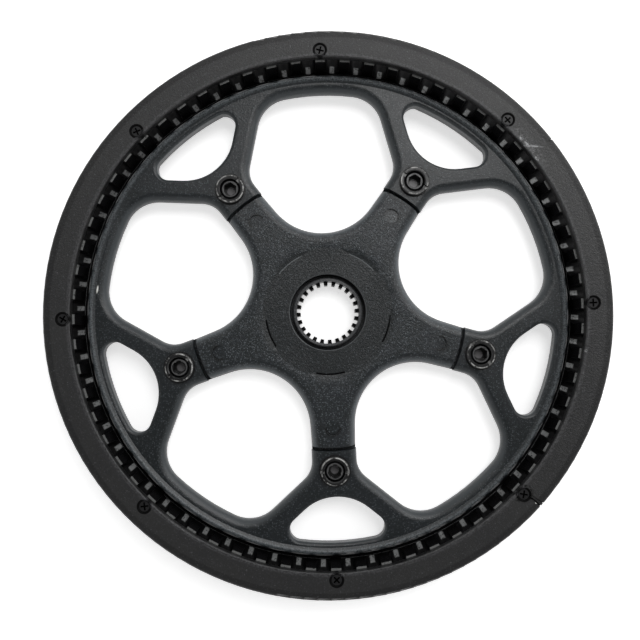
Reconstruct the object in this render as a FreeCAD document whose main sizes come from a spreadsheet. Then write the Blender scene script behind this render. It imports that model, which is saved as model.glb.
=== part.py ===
import FreeCAD, Part
import math
import os
import re

import Sketcher

# Front sprocket of a bicycle belt drive: a die-cast sprocket ring with belt teeth, a moulded guard ring
# screwed onto the teeth, a five-arm spider bolted behind the ring, and a splined sleeve in the spider's hub.
# The origin is on the axis, in the plane that the sprocket lies on. +Z points to the guard. Millimetres.

ARMS = 5
TEETH = 64
GUARD_SCREWS = 8
SPLINES = 24
HEX_SIDES = 6

# Two edges or levels closer than this are the same
SAME = 1e-3

# Driving sizes in millimetres and degrees
SIZES = {
    "arm_phase": 56.5,
    "tooth_phase": 1.8,
    "running_fit": 0.05,
    "bolt_circle_r": 65.0,
    # Guard ring
    "guard_ledge": 0.8,
    "guard_overhang": 3.4,
    "guard_thickness": 3.0,
    "guard_outer_round": 1.4,
    "guard_inner_round": 0.6,
    "break_angle": 317.4,
    "break_gap": 0.5,
    "break_wide_gap": 0.8,
    "break_root_gap": 0.2,
    "break_length": 6.2,
    "break_depth": 2.0,
    "tongue_width": 1.8,
    "tongue_root": 0.5,
    "hairline_angle": 37.6,
    "hairline_gap": 0.35,
    "hairline_length": 3.2,
    # Guard screws
    "screw_rim": 0.15,
    "screw_shank_r": 1.2,
    "screw_head_r": 2.2,
    "screw_sink": 0.35,
    "screw_bite": 6.0,
    "cross_width": 0.7,
    "cross_length": 3.2,
    "cross_depth": 0.5,
    "screw_turn": 37.0,
    # Tooth band
    "band_top": 16.0,
    "band_width": 8.4,
    "back_flange_lip": 2.6,
    "back_flange_thickness": 2.5,
    "tooth_gap": 6.1,
    "tooth_gap_floor": 5.5,
    "tooth_gap_fall": 18.0,
    "boss_width": 4.3,
    "boss_step": 0.6,
    # Plate of the sprocket ring
    "plate_top": 10.0,
    "plate_thickness": 4.5,
    "groove_width": 3.2,
    "groove_floor": 3.5,
    "bead_width": 3.15,
    "bead_round": 1.3,
    "bead_slope": 30.0,
    "skirt_wall": 3.0,
    "edge_round": 3.6,
    # Windows between the arms
    "window_land": 0.25,
    "window_corner_r": 14.0,
    "window_neck_r": 10.0,
    "tab_width": 18.5,
    "tab_reach": 7.9,
    # Crescent windows in the forked tabs
    "fork_angle": 49.5,
    "branch_width": 8.9,
    "crescent_offset": 10.75,
    "crescent_nose_r": 20.2,
    "crescent_depth": 18.4,
    "crescent_tip_r": 4.8,
    "crescent_edge_round": 1.5,
    "crescent_land": 0.2,
    # Spider
    "spider_bottom": 2.2,
    "joint_gap": 1.5,
    "tongue_reach": 7.5,
    "arm_inset": 0.3,
    "arm_taper": 2.0,
    "arm_root_r": 25.2,
    "arm_edge_round": 4.2,
    "hub_face_width": 10.8,
    "hub_face_depth": 0.35,
    "hub_face_slope": 0.8,
    "lobe_overlap": 0.8,
    "lobe_reach": 3.2,
    "lobe_half_angle": 13.0,
    "lobe_depth": 0.3,
    "mark_r": 2.9,
    "mark_inset": 7.9,
    "mark_slope": 6.0,
    # Splined sleeve
    "hub_bore_r": 15.6,
    "hub_bore_chamfer": 0.4,
    "sleeve_neck_gap": 1.1,
    "sleeve_seat": 1.8,
    "sleeve_depth": 2.4,
    "sleeve_flange_lip": 2.4,
    "sleeve_flange_thickness": 1.6,
    "sleeve_edge": 0.5,
    "sleeve_wall": 1.5,
    "spline_depth": 1.6,
    "spline_lead": 1.2,
    "spline_gap": 1.65,
    # Chainring bolts and their sleeve nuts
    "bolt_hole_r": 5.05,
    "nut_flange_lip": 0.9,
    "nut_flange_thickness": 1.8,
    "nut_flange_edge": 0.4,
    "nut_wall": 0.8,
    "nut_sleeve_clear": 0.6,
    "nut_slot_width": 1.6,
    "nut_slot_depth": 0.9,
    "bolt_head_lip": 1.15,
    "bolt_head_thickness": 1.8,
    "bolt_recess": 1.0,
    "bolt_end_chamfer": 0.95,
    "hex_across_flats": 5.0,
    "hex_depth": 4.0,
}

# Sizes that follow from the driving sizes
DERIVED = {
    "half_pitch": f"180 / {ARMS}",
    "slot_phase": f"tooth_phase - 180 / {TEETH}",
    "arm_turn": "arm_phase - slot_phase",
    "window_turn": "arm_turn + half_pitch",
    "guard_top": "band_top + guard_thickness",
    "plate_bottom": "plate_top - plate_thickness",
    "tab_end_r": "bolt_circle_r - tab_reach",
    "tongue_end_r": "bolt_circle_r + tongue_reach",
    "crescent_nose_u": "bolt_circle_r + crescent_offset",
    "crescent_outer_r": "crescent_nose_u + crescent_depth",
    "shoulder_r": "crescent_outer_r + crescent_edge_round + crescent_land",
    "window_outer_r": "shoulder_r - edge_round - window_land",
    "groove_inner_r": "shoulder_r + bead_width",
    "bead_rise": "bead_round * (1 - cos(bead_slope * 1 deg))"
                 " + (bead_width - bead_round * (1 + sin(bead_slope * 1 deg))) * tan(bead_slope * 1 deg)",
    "bead_u": "groove_inner_r - bead_round",
    "bead_z": "plate_top + bead_rise - bead_round",
    "skirt_r": "groove_inner_r - skirt_wall",
    "band_inner_r": "groove_inner_r + groove_width",
    "band_outer_r": "band_inner_r + band_width",
    "back_flange_r": "band_outer_r + back_flange_lip",
    "guard_inner_r": "band_inner_r + guard_ledge",
    "guard_outer_r": "band_outer_r + guard_overhang",
    "tab_half": "tab_width / 2",
    "arm_width": "tab_width - 2 * arm_inset",
    "fork_nose_u": "crescent_nose_u - crescent_nose_r * (1 / sin(fork_angle * 1 deg) - 1)",
    "fork_heel_u": "fork_nose_u - branch_width / sin(fork_angle * 1 deg)",
    "neck_u": "fork_heel_u + tab_half / tan(fork_angle * 1 deg)",
    "branch_run": "sqrt(window_outer_r ^ 2 - (fork_heel_u * sin(fork_angle * 1 deg)) ^ 2)"
                  " - fork_heel_u * cos(fork_angle * 1 deg)",
    "corner_u": "fork_heel_u + branch_run * cos(fork_angle * 1 deg)",
    "corner_v": "branch_run * sin(fork_angle * 1 deg)",
    "crescent_run": "sqrt(crescent_outer_r ^ 2 - (fork_nose_u * sin(fork_angle * 1 deg)) ^ 2)"
                    " - fork_nose_u * cos(fork_angle * 1 deg)",
    "crescent_tip_u": "fork_nose_u + crescent_run * cos(fork_angle * 1 deg)",
    "crescent_tip_v": "crescent_run * sin(fork_angle * 1 deg)",
    "spider_end_r": "tab_end_r - joint_gap",
    "screw_hole_r": "screw_shank_r + running_fit",
    "countersink": "screw_head_r + running_fit + screw_sink - screw_hole_r",
    "screw_circle_r": "guard_inner_r + screw_rim + countersink + screw_hole_r",
    "hub_face_r": "hub_bore_r + hub_face_width",
    "hub_face_z": "plate_top - hub_face_depth",
    "apex_u": "(arm_width / 2 * cos(arm_taper * 1 deg) + spider_end_r * sin(arm_taper * 1 deg))"
              " / sin((half_pitch + arm_taper) * 1 deg)",
    "lobe_inner_r": "hub_face_r - lobe_overlap",
    "lobe_outer_r": "hub_face_r + lobe_reach",
    "mark_centre_u": "spider_end_r - mark_inset",
    "sleeve_seat_top": "spider_bottom + sleeve_seat",
    "sleeve_top": "plate_top - sleeve_depth",
    "sleeve_neck_r": "hub_bore_r - sleeve_neck_gap",
    "sleeve_flange_r": "hub_bore_r + sleeve_flange_lip",
    "spline_root_r": "sleeve_neck_r - sleeve_wall",
    "spline_tip_r": "spline_root_r - spline_depth",
    "spline_top": "sleeve_top - spline_lead",
    "nut_flange_r": "bolt_hole_r + nut_flange_lip",
    "nut_sleeve_r": "bolt_hole_r - running_fit",
    "nut_bore_r": "nut_sleeve_r - nut_wall",
    "bolt_head_r": "bolt_hole_r + bolt_head_lip",
    "bolt_shank_r": "nut_bore_r - running_fit",
    "bolt_end_r": "bolt_shank_r - bolt_end_chamfer",
    "bolt_hex_corner_r": "hex_across_flats / sqrt(3)",
}

# Direction of the slots across each nut flange, in the order of the arms
NUT_SLOT_ANGLES = (148, 45, 45, 0, 135)

doc = FreeCAD.newDocument("belt_sprocket")
sheet = doc.addObject("Spreadsheet::Sheet", "Dims")
for row, (alias, size) in enumerate(SIZES.items(), 1):
    sheet.set(f"A{row}", alias)
    sheet.set(f"B{row}", str(size))
    sheet.setAlias(f"B{row}", alias)
for row, (alias, rule) in enumerate(DERIVED.items(), 1):
    sheet.set(f"D{row}", alias)
    sheet.set(f"E{row}", f"={rule}")
    sheet.setAlias(f"E{row}", alias)
doc.recompute()

SIZE_NAME = re.compile(r"\b(" + "|".join([*SIZES, *DERIVED]) + r")\b")


def formula(text):
    """A formula on the sheet's names, as an expression of the document."""
    return SIZE_NAME.sub(r"Dims.\1", text)


def number(text):
    """The present value of a formula."""
    return float(sheet.evalExpression(formula(text)))


def new_body(label, turn="0", x="0", y="0", z="0"):
    """A body with its own name, turned about Z and moved to its place."""
    body = doc.addObject("PartDesign::Body", label)
    body.Label = label
    body.setExpression("Placement.Rotation.Angle", formula(f"({turn}) * 1 deg"))
    for way, distance in (("x", x), ("y", y), ("z", z)):
        body.setExpression(f"Placement.Base.{way}", formula(distance))
    return body


def origin_part(body, role):
    """One of the body's own origin planes or axes."""
    return next(part for part in body.Origin.OriginFeatures if part.Role == role)


def sketch_on(body, name, plane="XY_Plane", height="0", turn="0", shift="0", turn_axis=(0, 0, 1)):
    """A sketch on an origin plane, shifted in it, lifted along its normal and turned."""
    sketch = body.newObject("Sketcher::SketchObject", name)
    sketch.AttachmentSupport = (origin_part(body, plane), [""])
    sketch.MapMode = "FlatFace"
    any_turn = FreeCAD.Rotation(FreeCAD.Vector(*turn_axis), 1)
    sketch.AttachmentOffset = FreeCAD.Placement(FreeCAD.Vector(), any_turn)
    sketch.setExpression("AttachmentOffset.Base.y", formula(shift))
    sketch.setExpression("AttachmentOffset.Base.z", formula(height))
    sketch.setExpression("AttachmentOffset.Rotation.Angle", formula(f"({turn}) * 1 deg"))
    return sketch


def hold_point(sketch, element, point, x, y, ways="xy"):
    """Tie a point of a sketch to formulas for its coordinates."""
    for way, kind, text, axis in (("x", "DistanceX", x, -2), ("y", "DistanceY", y, -1)):
        if way not in ways:
            continue
        if text == "0":
            sketch.addConstraint(Sketcher.Constraint("PointOnObject", element, point, axis))
            continue
        index = sketch.addConstraint(Sketcher.Constraint(kind, -1, 1, element, point, number(text)))
        sketch.setExpression(f"Constraints[{index}]", formula(text))


def draw_circle(sketch, radius, x="0", y="0"):
    """A full circle with its centre and radius tied to formulas."""
    centre = FreeCAD.Vector(number(x), number(y), 0)
    element = sketch.addGeometry(Part.Circle(centre, FreeCAD.Vector(0, 0, 1), number(radius)), False)
    hold_point(sketch, element, 3, x, y)
    index = sketch.addConstraint(Sketcher.Constraint("Radius", element, number(radius)))
    sketch.setExpression(f"Constraints[{index}]", formula(radius))


def arc_between(start, finish, centre):
    """A counter-clockwise arc from start to finish."""
    circle = Part.Circle(centre, FreeCAD.Vector(0, 0, 1), (start - centre).Length)
    first = math.atan2(start.y - centre.y, start.x - centre.x)
    last = math.atan2(finish.y - centre.y, finish.x - centre.x)
    if last <= first:
        last += 2 * math.pi
    return Part.ArcOfCircle(circle, first, last)


def draw_outline(sketch, corners, arcs=None):
    """Close an outline through corners, each a pair of formulas and, where needed, the ways that are held.

    arcs gives the sides that are arcs: the side's number, its centre and its sense, 1 for counter-clockwise.
    """
    arcs = arcs or {}
    points = [FreeCAD.Vector(number(corner[0]), number(corner[1]), 0) for corner in corners]
    sides = []
    for side, start in enumerate(points):
        finish = points[(side + 1) % len(points)]
        if side not in arcs:
            sides.append((sketch.addGeometry(Part.LineSegment(start, finish), False), 1, 2))
            continue
        centre_x, centre_y, sense = arcs[side]
        centre = FreeCAD.Vector(number(centre_x), number(centre_y), 0)
        if sense > 0:
            element = sketch.addGeometry(arc_between(start, finish, centre), False)
            sides.append((element, 1, 2))
        else:
            element = sketch.addGeometry(arc_between(finish, start, centre), False)
            sides.append((element, 2, 1))
        hold_point(sketch, element, 3, centre_x, centre_y)
    for side, (element, first, last) in enumerate(sides):
        following, following_first, _ = sides[(side + 1) % len(sides)]
        sketch.addConstraint(Sketcher.Constraint("Coincident", element, last, following, following_first))
        hold_point(sketch, element, first, *corners[side])


def revolve(body, name, corners, arcs=None):
    """A full turn of a profile given as radius and height."""
    sketch = sketch_on(body, f"{name}_profile", "XZ_Plane")
    draw_outline(sketch, corners, arcs)
    turned = body.newObject("PartDesign::Revolution", name)
    turned.Profile = sketch
    turned.ReferenceAxis = (sketch, ["V_Axis"])
    turned.Angle = 360
    return turned


def turn_cut(body, name, angle, corners):
    """Cut a profile given as radius and height through an angle, the same to both sides of the X axis."""
    sketch = sketch_on(body, f"{name}_profile", "XZ_Plane")
    draw_outline(sketch, corners)
    cut = body.newObject("PartDesign::Groove", name)
    cut.Profile = sketch
    cut.ReferenceAxis = (sketch, ["V_Axis"])
    cut.Midplane = True
    cut.setExpression("Angle", formula(f"({angle}) * 1 deg"))
    doc.recompute()
    return cut


def pocket(body, name, sketch, depth=None, outwards=False):
    """Cut a sketch downwards, or along its normal, to a depth or right through, and check that it cuts."""
    doc.recompute()
    before = body.Shape.Volume
    cut = body.newObject("PartDesign::Pocket", name)
    cut.Profile = sketch
    cut.Reversed = outwards
    if depth is None:
        cut.Type = "ThroughAll"
    else:
        cut.setExpression("Length", formula(depth))
    doc.recompute()
    if body.Shape.Volume >= before:
        raise RuntimeError(f"{name} cuts nothing")
    return cut


def repeat(body, name, feature, count):
    """Repeat a feature round the Z axis."""
    pattern = body.newObject("PartDesign::PolarPattern", name)
    pattern.Originals = [feature]
    pattern.Axis = (origin_part(body, "Z_Axis"), [""])
    pattern.Angle = 360
    pattern.Occurrences = count
    body.Tip = pattern
    doc.recompute()
    return pattern


def dress_edges(body, name, kind, size, chosen):
    """Round or chamfer the edges of the body that a test chooses."""
    doc.recompute()
    base = body.Tip
    edges = [f"Edge{place}" for place, edge in enumerate(base.Shape.Edges, 1) if chosen(edge, base.Shape)]
    dressed = body.newObject(f"PartDesign::{kind}", name)
    dressed.Base = (base, edges)
    dressed.setExpression("Radius" if kind == "Fillet" else "Size", formula(size))
    doc.recompute()
    if not dressed.isValid():
        raise RuntimeError(f"{name} fails on {len(edges)} edges")
    return dressed


def upright_at(radius):
    """A test for upright straight edges at a distance from the axis."""
    distance = number(radius)

    def chosen(edge, _):
        box = edge.BoundBox
        upright = box.XLength < SAME and box.YLength < SAME
        return upright and abs(math.hypot(box.Center.x, box.Center.y) - distance) < SAME

    return chosen


def upright_wall(face):
    """Whether a face stands upright at its middle."""
    first_u, last_u, first_v, last_v = face.ParameterRange
    return abs(face.normalAt((first_u + last_u) / 2, (first_v + last_v) / 2).z) < SAME


def level_inside(height, least_r, greatest_r):
    """A test for edges that lie level at a height, within a ring about the axis and along an upright wall."""
    level = number(height)
    least = number(least_r)
    greatest = number(greatest_r)

    def chosen(edge, shape):
        box = edge.BoundBox
        if abs(box.ZMin - level) > SAME or abs(box.ZMax - level) > SAME:
            return False
        middle = edge.valueAt((edge.FirstParameter + edge.LastParameter) / 2)
        if not least < math.hypot(middle.x, middle.y) < greatest:
            return False
        return any(upright_wall(face) for face in shape.ancestorsOfType(edge, Part.Face))

    return chosen


def sprocket_ring():
    """The cast ring: forked tabs, plate with a beaded shoulder, groove, tooth band and back flange."""
    body = new_body("sprocket_ring", turn="slot_phase")
    revolve(body, "ring", [
        ("tab_end_r", "plate_bottom"),
        ("skirt_r", "plate_bottom"),
        ("skirt_r", "0"),
        ("back_flange_r", "0"),
        ("back_flange_r", "back_flange_thickness"),
        ("band_outer_r", "back_flange_thickness"),
        ("band_outer_r", "band_top"),
        ("band_inner_r", "band_top"),
        ("band_inner_r", "groove_floor"),
        ("groove_inner_r", "groove_floor"),
        ("groove_inner_r", "bead_z", "y"),
        ("bead_u - bead_round * sin(bead_slope * 1 deg)", "bead_z + bead_round * cos(bead_slope * 1 deg)"),
        ("shoulder_r", "plate_top"),
        ("tab_end_r", "plate_top"),
    ], {10: ("bead_u", "bead_z", 1)})

    window = sketch_on(body, "window_outline", height="plate_top", turn="window_turn")
    cos_half = "cos(half_pitch * 1 deg)"
    sin_half = "sin(half_pitch * 1 deg)"
    neck_x = f"neck_u * {cos_half} + tab_half * {sin_half}"
    neck_y = f"neck_u * {sin_half} - tab_half * {cos_half}"
    corner_x = f"corner_u * {cos_half} + corner_v * {sin_half}"
    corner_y = f"corner_u * {sin_half} - corner_v * {cos_half}"
    draw_outline(window, [
        (f"tab_half / {sin_half}", "0"),
        (neck_x, f"-({neck_y})"),
        (corner_x, f"-({corner_y})"),
        (corner_x, corner_y, "y"),
        (neck_x, neck_y),
    ], {2: ("0", "0", 1)})
    repeat(body, "windows", pocket(body, "window", window), ARMS)
    dress_edges(body, "window_necks", "Fillet", "window_neck_r",
                upright_at("sqrt(neck_u ^ 2 + tab_half ^ 2)"))
    dress_edges(body, "window_corners", "Fillet", "window_corner_r", upright_at("window_outer_r"))
    dress_edges(body, "window_rims", "Fillet", "edge_round",
                level_inside("plate_top", "tab_end_r + joint_gap", "(window_outer_r + shoulder_r) / 2"))

    crescent = sketch_on(body, "crescent_outline", height="plate_top", turn="arm_turn")
    draw_outline(crescent, [
        ("fork_nose_u", "0"),
        ("crescent_tip_u", "-crescent_tip_v"),
        ("crescent_tip_u", "crescent_tip_v", "y"),
    ], {1: ("0", "0", 1)})
    repeat(body, "crescents", pocket(body, "crescent", crescent), ARMS)
    dress_edges(body, "crescent_noses", "Fillet", "crescent_nose_r", upright_at("fork_nose_u"))
    dress_edges(body, "crescent_tips", "Fillet", "crescent_tip_r", upright_at("crescent_outer_r"))
    dress_edges(body, "crescent_rims", "Fillet", "crescent_edge_round",
                level_inside("plate_top", "tab_end_r + joint_gap", "(crescent_outer_r + shoulder_r) / 2"))

    bolt_hole = sketch_on(body, "bolt_hole_outline", height="plate_top", turn="arm_turn")
    draw_circle(bolt_hole, "bolt_hole_r", x="bolt_circle_r")
    repeat(body, "bolt_holes", pocket(body, "bolt_hole", bolt_hole), ARMS)

    boss = sketch_on(body, "screw_boss_outline", height="groove_floor", turn="tooth_phase - slot_phase")
    boss_half = "boss_width / 2"
    draw_outline(boss, [
        ("band_inner_r - boss_step", f"-{boss_half}"),
        ("screw_circle_r", f"-{boss_half}"),
        ("screw_circle_r", boss_half),
        ("band_inner_r - boss_step", boss_half),
    ])
    raised = body.newObject("PartDesign::Pad", "screw_boss")
    raised.Profile = boss
    raised.setExpression("Length", formula("band_top - groove_floor"))
    doc.recompute()
    repeat(body, "screw_bosses", raised, GUARD_SCREWS)

    gap = sketch_on(body, "tooth_gap_outline", "YZ_Plane",
                    height="band_inner_r - (band_top - tooth_gap_floor) * tan(tooth_gap_fall * 1 deg)",
                    turn="tooth_gap_fall", shift="tooth_gap_floor + tooth_gap / 2", turn_axis=(1, 0, 0))
    gap_half = "tooth_gap / 2"
    draw_outline(gap, [
        (gap_half, "0"),
        (gap_half, "band_top"),
        (f"-{gap_half}", "band_top"),
        (f"-{gap_half}", "0", "y"),
    ], {3: ("0", "0", 1)})
    repeat(body, "tooth_gaps",
           pocket(body, "tooth_gap", gap, "2 * (back_flange_r - band_inner_r)", outwards=True), TEETH)

    pilot = sketch_on(body, "screw_pilot_outline", height="band_top", turn="tooth_phase - slot_phase")
    draw_circle(pilot, "screw_hole_r", x="screw_circle_r")
    repeat(body, "screw_pilots", pocket(body, "screw_pilot", pilot, "screw_bite + running_fit"), GUARD_SCREWS)
    return body


def guard_ring():
    """The moulded guard: a flat ring with countersunk screw holes, cracked at one screw."""
    body = new_body("guard_ring", turn="tooth_phase")
    revolve(body, "guard", [
        ("guard_inner_r", "band_top"),
        ("guard_outer_r", "band_top"),
        ("guard_outer_r", "guard_top"),
        ("guard_inner_r", "guard_top"),
    ])
    dress_edges(body, "outer_round", "Fillet", "guard_outer_round",
                level_inside("guard_top", "guard_outer_r - guard_outer_round",
                             "guard_outer_r + guard_outer_round"))
    dress_edges(body, "inner_round", "Fillet", "guard_inner_round",
                level_inside("guard_top", "guard_inner_r - guard_inner_round",
                             "guard_inner_r + guard_inner_round"))
    hole = sketch_on(body, "screw_hole_outline", height="guard_top")
    draw_circle(hole, "screw_hole_r", x="screw_circle_r")
    repeat(body, "screw_holes", pocket(body, "screw_hole", hole), GUARD_SCREWS)
    dress_edges(body, "countersinks", "Chamfer", "countersink",
                level_inside("guard_top", "screw_circle_r - 2 * screw_hole_r",
                             "screw_circle_r + 2 * screw_hole_r"))

    clear_r = "guard_outer_r + guard_thickness"
    root_r = "guard_outer_r - break_length"
    wide_r = "guard_outer_r - break_length / 3"
    crack = sketch_on(body, "break_outline", height="guard_top", turn="break_angle - tooth_phase")
    draw_outline(crack, [
        (root_r, "-break_root_gap / 2"),
        (wide_r, "-break_wide_gap / 2"),
        (clear_r, "-break_gap / 2"),
        (clear_r, "break_gap / 2"),
        (wide_r, "break_wide_gap / 2"),
        (root_r, "break_root_gap / 2"),
    ])
    pocket(body, "break_crack", crack, "break_depth")
    side = sketch_on(body, "tongue_side_outline", height="guard_top", turn="break_angle - tooth_phase")
    draw_outline(side, [
        (root_r, "tongue_root"),
        (clear_r, "tongue_width"),
        (clear_r, "tongue_width + break_gap"),
        (root_r, "tongue_root + break_root_gap"),
    ])
    pocket(body, "tongue_side", side, "break_depth")
    hairline = sketch_on(body, "hairline_outline", height="guard_top", turn="hairline_angle - tooth_phase")
    draw_outline(hairline, [
        ("guard_outer_r - hairline_length", "0"),
        (clear_r, "-hairline_gap"),
        (clear_r, "hairline_gap"),
    ])
    pocket(body, "hairline", hairline, "break_depth")
    return body


def spider():
    """The five-arm spider: arms that step down behind the ring's tabs, and a shallow hub face."""
    body = new_body("spider", turn="arm_phase")
    revolve(body, "star", [
        ("0", "spider_bottom"),
        ("tongue_end_r", "spider_bottom"),
        ("tongue_end_r", "plate_bottom"),
        ("spider_end_r", "plate_bottom"),
        ("spider_end_r", "plate_top"),
        ("0", "plate_top"),
    ])
    window = sketch_on(body, "window_outline", height="plate_top", turn="half_pitch")
    spread = "(2 * tongue_end_r - apex_u) * tan((half_pitch + arm_taper) * 1 deg)"
    draw_outline(window, [
        ("apex_u", "0"),
        ("2 * tongue_end_r", f"-{spread}"),
        ("2 * tongue_end_r", spread),
    ])
    repeat(body, "windows", pocket(body, "window", window), ARMS)
    dress_edges(body, "arm_roots", "Fillet", "arm_root_r", upright_at("apex_u"))
    dress_edges(body, "arm_edges", "Fillet", "arm_edge_round",
                level_inside("plate_top", "hub_face_r", "spider_end_r - joint_gap / 2"))

    turn_cut(body, "hub_face", "360", [
        ("0", "hub_face_z"),
        ("hub_face_r", "hub_face_z"),
        ("hub_face_r + 2 * hub_face_slope", "plate_top + hub_face_depth"),
        ("0", "plate_top + hub_face_depth"),
    ])
    bore = sketch_on(body, "bore_outline", height="plate_top")
    draw_circle(bore, "hub_bore_r + running_fit")
    pocket(body, "bore", bore)
    dress_edges(body, "bore_edge", "Chamfer", "hub_bore_chamfer",
                level_inside("hub_face_z", "hub_bore_r", "hub_bore_r + 2 * running_fit"))
    lobe = turn_cut(body, "lobe", "2 * lobe_half_angle", [
        ("lobe_inner_r", "hub_face_z - lobe_depth"),
        ("lobe_outer_r", "plate_top"),
        ("lobe_outer_r", "plate_top + lobe_depth"),
        ("lobe_inner_r", "plate_top + lobe_depth"),
    ])
    repeat(body, "lobes", lobe, ARMS)
    mark = sketch_on(body, "mark_outline", turn="mark_slope", turn_axis=(0, 1, 0),
                     height="plate_top + (mark_centre_u - mark_r) * tan(mark_slope * 1 deg)")
    draw_circle(mark, "mark_r", x="mark_centre_u / cos(mark_slope * 1 deg)")
    repeat(body, "marks", pocket(body, "mark", mark, "mark_r", outwards=True), ARMS)
    bolt_hole = sketch_on(body, "bolt_hole_outline", height="plate_top")
    draw_circle(bolt_hole, "bolt_hole_r", x="bolt_circle_r")
    repeat(body, "bolt_holes", pocket(body, "bolt_hole", bolt_hole), ARMS)
    return body


def splined_sleeve():
    """The steel sleeve in the hub: a back flange, a fit in the spider, a free neck and inner splines."""
    body = new_body("splined_sleeve", turn="arm_phase")
    revolve(body, "sleeve", [
        ("spline_tip_r", "spider_bottom - sleeve_flange_thickness"),
        ("sleeve_flange_r", "spider_bottom - sleeve_flange_thickness"),
        ("sleeve_flange_r", "spider_bottom"),
        ("hub_bore_r", "spider_bottom"),
        ("hub_bore_r", "sleeve_seat_top"),
        ("sleeve_neck_r", "sleeve_seat_top"),
        ("sleeve_neck_r", "sleeve_top - sleeve_edge"),
        ("sleeve_neck_r - sleeve_edge", "sleeve_top"),
        ("spline_root_r", "sleeve_top"),
        ("spline_root_r", "spline_top"),
        ("spline_tip_r", "spline_top"),
    ])
    gap = sketch_on(body, "spline_gap_outline", height="spline_top")
    gap_half = "spline_gap / 2"
    draw_outline(gap, [
        ("spline_tip_r / 2", f"-{gap_half}"),
        ("spline_root_r", f"-{gap_half}"),
        ("spline_root_r", gap_half),
        ("spline_tip_r / 2", gap_half),
    ])
    repeat(body, "spline_gaps", pocket(body, "spline_gap", gap), SPLINES)
    return body


def arm_direction(arm):
    """The formulas for a bolt's place on an arm."""
    angle = f"(arm_phase + 360 / {ARMS} * {arm}) * 1 deg"
    return f"bolt_circle_r * cos({angle})", f"bolt_circle_r * sin({angle})"


def chainring_nut(arm):
    """A sleeve nut: a slotted flange on the ring's tab and a sleeve through the tab and the spider's arm."""
    x, y = arm_direction(arm)
    body = new_body(f"chainring_nut_{arm + 1}", turn=str(NUT_SLOT_ANGLES[arm]), x=x, y=y, z="plate_top")
    sleeve_end = "spider_bottom + nut_sleeve_clear - plate_top"
    revolve(body, "nut", [
        ("nut_bore_r", sleeve_end),
        ("nut_sleeve_r", sleeve_end),
        ("nut_sleeve_r", "0"),
        ("nut_flange_r", "0"),
        ("nut_flange_r", "nut_flange_thickness - nut_flange_edge"),
        ("nut_flange_r - nut_flange_edge", "nut_flange_thickness"),
        ("nut_bore_r + nut_flange_edge", "nut_flange_thickness"),
        ("nut_bore_r", "nut_flange_thickness - nut_flange_edge"),
    ])
    slot = sketch_on(body, "slot_outline", height="nut_flange_thickness")
    slot_half = "nut_slot_width / 2"
    draw_outline(slot, [
        ("-2 * nut_flange_r", f"-{slot_half}"),
        ("2 * nut_flange_r", f"-{slot_half}"),
        ("2 * nut_flange_r", slot_half),
        ("-2 * nut_flange_r", slot_half),
    ])
    pocket(body, "slot", slot, "nut_slot_depth")
    return body


def chainring_bolt(arm):
    """A hollow bolt from the back, ending inside the nut, with a hexagon in its end."""
    x, y = arm_direction(arm)
    body = new_body(f"chainring_bolt_{arm + 1}", turn="arm_phase", x=x, y=y, z="spider_bottom")
    end = "plate_top + nut_flange_thickness - bolt_recess - spider_bottom"
    revolve(body, "bolt", [
        ("0", "-bolt_head_thickness"),
        ("bolt_head_r - bolt_head_thickness / 2", "-bolt_head_thickness"),
        ("bolt_head_r", "-bolt_head_thickness / 2"),
        ("bolt_head_r", "0"),
        ("bolt_shank_r", "0"),
        ("bolt_shank_r", f"{end} - bolt_end_chamfer"),
        ("bolt_end_r", end),
        ("0", end),
    ])
    key = sketch_on(body, "hexagon_outline", height=end)
    corners = []
    for corner in range(HEX_SIDES):
        angle = f"360 / {HEX_SIDES} * ({corner} + 1 / 2) * 1 deg"
        corners.append((f"bolt_hex_corner_r * cos({angle})", f"bolt_hex_corner_r * sin({angle})"))
    draw_outline(key, corners)
    pocket(body, "hexagon", key, "hex_depth")
    return body


def guard_screw(place):
    """A countersunk cross-head screw through the guard into a tooth."""
    angle = f"(tooth_phase + 360 / {GUARD_SCREWS} * {place}) * 1 deg"
    body = new_body(f"guard_screw_{place + 1}", turn=f"tooth_phase + screw_turn * {place}",
                    x=f"screw_circle_r * cos({angle})", y=f"screw_circle_r * sin({angle})", z="guard_top")
    tip = "-guard_thickness - screw_bite"
    revolve(body, "screw", [
        ("0", tip),
        ("screw_shank_r / 2", tip),
        ("screw_shank_r", f"{tip} + screw_shank_r / 2"),
        ("screw_shank_r", "-screw_sink - screw_head_r + screw_shank_r"),
        ("screw_head_r", "-screw_sink"),
        ("0", "-screw_sink"),
    ])
    cross = sketch_on(body, "cross_outline", height="-screw_sink")
    near = "cross_width / 2"
    far = "cross_length / 2"
    draw_outline(cross, [
        (near, near), (near, far), (f"-{near}", far), (f"-{near}", near),
        (f"-{far}", near), (f"-{far}", f"-{near}"), (f"-{near}", f"-{near}"), (f"-{near}", f"-{far}"),
        (near, f"-{far}"), (near, f"-{near}"), (far, f"-{near}"), (far, near),
    ])
    pocket(body, "cross", cross, "cross_depth")
    return body


bodies = [sprocket_ring(), guard_ring(), spider(), splined_sleeve()]
for arm in range(ARMS):
    bodies.append(chainring_nut(arm))
    bodies.append(chainring_bolt(arm))
for place in range(GUARD_SCREWS):
    bodies.append(guard_screw(place))
doc.recompute()

for item in doc.Objects:
    if "Invalid" in item.State or "Error" in item.State:
        raise RuntimeError(f"{item.Label} failed: {item.State}")
for body in bodies:
    if body.Shape.isNull() or not body.Shape.isValid():
        raise RuntimeError(f"{body.Label} has no valid shape")

os.makedirs("parts", exist_ok=True)
for body in bodies:
    body.Shape.exportStep(f"parts/{body.Label}.step")
    print(f"{body.Label}: {len(body.Shape.Solids)} solid, {body.Shape.Volume:.0f} mm3")
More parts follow.
